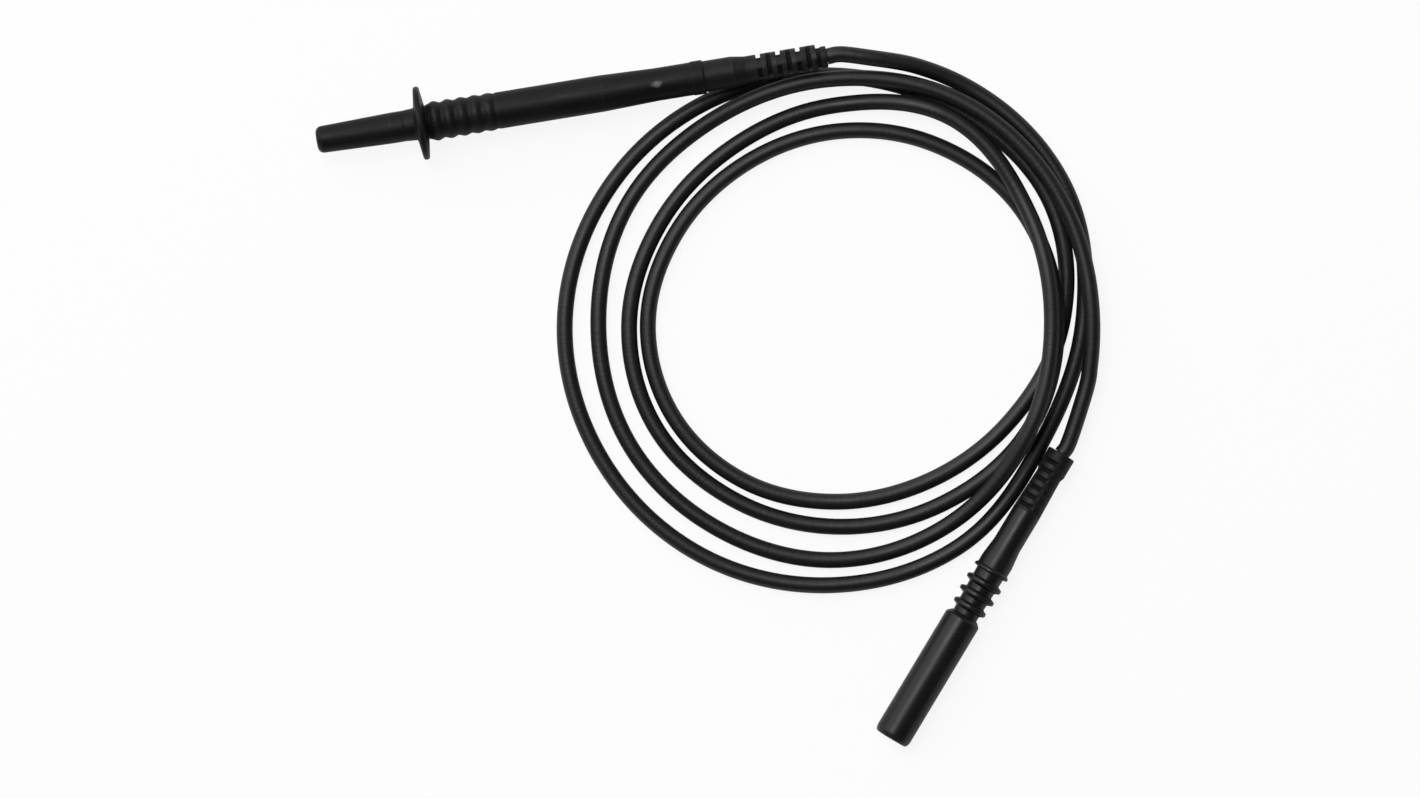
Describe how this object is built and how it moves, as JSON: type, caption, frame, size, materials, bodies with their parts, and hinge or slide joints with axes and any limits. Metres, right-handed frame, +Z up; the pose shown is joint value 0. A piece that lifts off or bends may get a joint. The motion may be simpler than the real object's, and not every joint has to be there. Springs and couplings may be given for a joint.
{
  "type": "oscilloscope test probe",
  "caption": "Slim insulated hand probe with a finger guard, a loosely coiled lead and a straight shrouded plug.",
  "frame": {"origin": "on the surface that the probe lies on, below the middle of the handle", "axes": "+X along the handle from its nose to its cable boot, +Z up"},
  "size_m": [0.1789, 0.1751, 0.0177],
  "materials": {
    "handle_plastic": "fine satin moulded",
    "plug_plastic": "smooth semi-gloss moulded",
    "boot_rubber": "soft satin",
    "cable_rubber": "smooth soft sheen",
    "bright_nickel": "plated, lightly worn",
    "brass": "turned",
    "spring_brass": "plated spring",
    "copper": "fine strands",
    "natural_nylon": "satin",
    "white_insulation": "satin",
    "shrink_sleeve": "satin"
  },
  "bodies": {
    "lead": {"probe_tip": "bright_nickel", "tip_insulation": "plug_plastic", "tip_socket": "brass", "handle_core": "natural_nylon", "handle_shell": "handle_plastic", "handle_cable_ferrule": "bright_nickel", "handle_joint_sleeve": "shrink_sleeve", "handle_wire_strands": "copper", "handle_inner_insulation": "white_insulation", "handle_cable_tail": "cable_rubber", "handle_boot": "boot_rubber", "cable": "cable_rubber", "plug_shroud": "plug_plastic", "contact_pin": "bright_nickel", "contact_end_insulator": "white_insulation", "contact_carrier": "natural_nylon", "plug_cable_ferrule": "bright_nickel", "plug_joint_sleeve": "shrink_sleeve", "plug_wire_strands": "copper", "plug_inner_insulation": "white_insulation", "plug_cable_tail": "cable_rubber", "plug_body": "plug_plastic", "plug_boot": "boot_rubber"},
    "cap": {"tip_cap": "handle_plastic"},
    "cage": {"contact_cage": "spring_brass"}
  },
  "joints": [
    {"name": "tip_cap_pull", "type": "slide", "parent": "lead", "child": "cap", "axis": [-1, 0, 0], "range_m": [0, 0.03]},
    {"name": "contact_cage_spin", "type": "hinge", "parent": "lead", "child": "cage", "pos_m": [0.0587, -0.15429, 0.0046], "axis": [0.6468, 0.7627, 0], "continuous": true}
  ]
}
